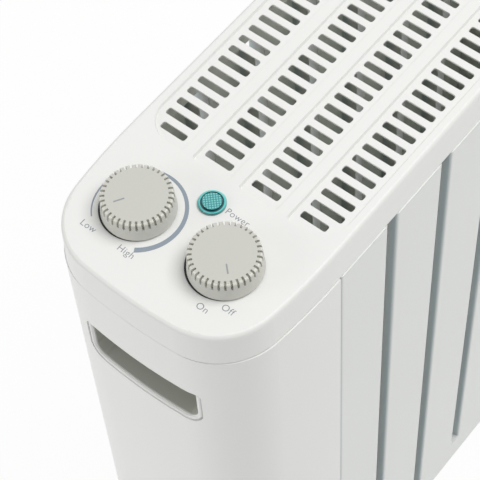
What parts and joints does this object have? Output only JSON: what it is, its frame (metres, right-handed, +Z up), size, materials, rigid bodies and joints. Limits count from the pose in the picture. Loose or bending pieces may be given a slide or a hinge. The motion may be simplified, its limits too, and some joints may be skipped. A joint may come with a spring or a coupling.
{
  "type": "oil-free radiator",
  "caption": "Free-standing electric radiator with slatted steel sides, a slotted plastic top with two control knobs and a pilot lamp, finger recesses in its ends, and swivel castors.",
  "frame": {"origin": "on the floor under the middle of the casing", "axes": "+X along the casing away from the control end, +Y to the back where the cord gland is, +Z up"},
  "size_m": [0.5836, 0.248, 0.6436],
  "materials": {
    "white_abs": "fine-grained white moulding",
    "white_steel": "smooth white stove enamel",
    "galvanised": "zinc-coated sheet",
    "knob_grey": "satin light grey",
    "cup_grey": "satin grey",
    "lens_teal": "clear blue-green lens",
    "black_plastic": "black moulding",
    "foot_plastic": "grained dark grey moulding",
    "castor_plastic": "black moulding",
    "wheel_rubber": "grey-black tread",
    "element_aluminium": "extruded, uncoated",
    "ceramic_white": "glazed ceramic",
    "bare_steel": "zinc-plated",
    "wire_sheath": "heat-resistant sheath"
  },
  "bodies": {
    "casing": {"back_panel": "white_steel", "base_tray": "galvanised", "cap_screws": "bare_steel", "control_end_cover": "white_abs", "control_foot_bar": "foot_plastic", "control_handle_cup": "cup_grey", "control_partition": "galvanised", "control_screws": "bare_steel", "cord_gland": "black_plastic", "cover_screws": "bare_steel", "element_insulators": "ceramic_white", "element_link": "bare_steel", "element_terminals": "bare_steel", "far_end_cover": "white_abs", "far_foot_bar": "foot_plastic", "far_handle_cup": "cup_grey", "far_partition": "galvanised", "foot_nuts": "bare_steel", "foot_screws": "bare_steel", "front_panel": "white_steel", "heating_element_back": "element_aluminium", "heating_element_front": "element_aluminium", "pilot_lamp_body": "black_plastic", "pilot_lamp_lens": "lens_teal", "pilot_lamp_ring": "bare_steel", "switch_body": "black_plastic", "terminal_block": "black_plastic", "thermal_cutout": "bare_steel", "thermostat_body": "black_plastic", "tip_over_switch": "black_plastic", "top_cover": "white_abs", "wiring": "wire_sheath"},
    "thermostat": {"thermostat_knob": "knob_grey", "thermostat_spindle": "bare_steel"},
    "switch": {"switch_knob": "knob_grey", "switch_spindle": "bare_steel"},
    "castor_control_front": {"castor_fork_control_front": "castor_plastic", "castor_axle_control_front": "bare_steel"},
    "wheel_control_front": {"castor_wheel_control_front": "wheel_rubber"},
    "castor_control_back": {"castor_fork_control_back": "castor_plastic", "castor_axle_control_back": "bare_steel"},
    "wheel_control_back": {"castor_wheel_control_back": "wheel_rubber"},
    "castor_far_front": {"castor_fork_far_front": "castor_plastic", "castor_axle_far_front": "bare_steel"},
    "wheel_far_front": {"castor_wheel_far_front": "wheel_rubber"},
    "castor_far_back": {"castor_fork_far_back": "castor_plastic", "castor_axle_far_back": "bare_steel"},
    "wheel_far_back": {"castor_wheel_far_back": "wheel_rubber"}
  },
  "joints": [
    {"name": "thermostat_turn", "type": "hinge", "parent": "casing", "child": "thermostat", "pos_m": [-0.23595, 0.0327, 0.63], "axis": [0, 0, -1], "range_deg": [0, 284]},
    {"name": "switch_turn", "type": "hinge", "parent": "casing", "child": "switch", "pos_m": [-0.23595, -0.0327, 0.63], "axis": [0, 0, -1], "range_deg": [0, 40]},
    {"name": "swivel_control_front", "type": "hinge", "parent": "casing", "child": "castor_control_front", "pos_m": [-0.23825, -0.101, 0.06], "axis": [0, 0, 1], "continuous": true},
    {"name": "roll_control_front", "type": "hinge", "parent": "castor_control_front", "child": "wheel_control_front", "pos_m": [-0.25325, -0.101, 0.022], "axis": [0, 1, 0], "continuous": true},
    {"name": "swivel_control_back", "type": "hinge", "parent": "casing", "child": "castor_control_back", "pos_m": [-0.23825, 0.101, 0.06], "axis": [0, 0, 1], "continuous": true},
    {"name": "roll_control_back", "type": "hinge", "parent": "castor_control_back", "child": "wheel_control_back", "pos_m": [-0.25325, 0.101, 0.022], "axis": [0, 1, 0], "continuous": true},
    {"name": "swivel_far_front", "type": "hinge", "parent": "casing", "child": "castor_far_front", "pos_m": [0.23825, -0.101, 0.06], "axis": [0, 0, 1], "continuous": true},
    {"name": "roll_far_front", "type": "hinge", "parent": "castor_far_front", "child": "wheel_far_front", "pos_m": [0.25325, -0.101, 0.022], "axis": [0, 1, 0], "continuous": true},
    {"name": "swivel_far_back", "type": "hinge", "parent": "casing", "child": "castor_far_back", "pos_m": [0.23825, 0.101, 0.06], "axis": [0, 0, 1], "continuous": true},
    {"name": "roll_far_back", "type": "hinge", "parent": "castor_far_back", "child": "wheel_far_back", "pos_m": [0.25325, 0.101, 0.022], "axis": [0, 1, 0], "continuous": true}
  ]
}
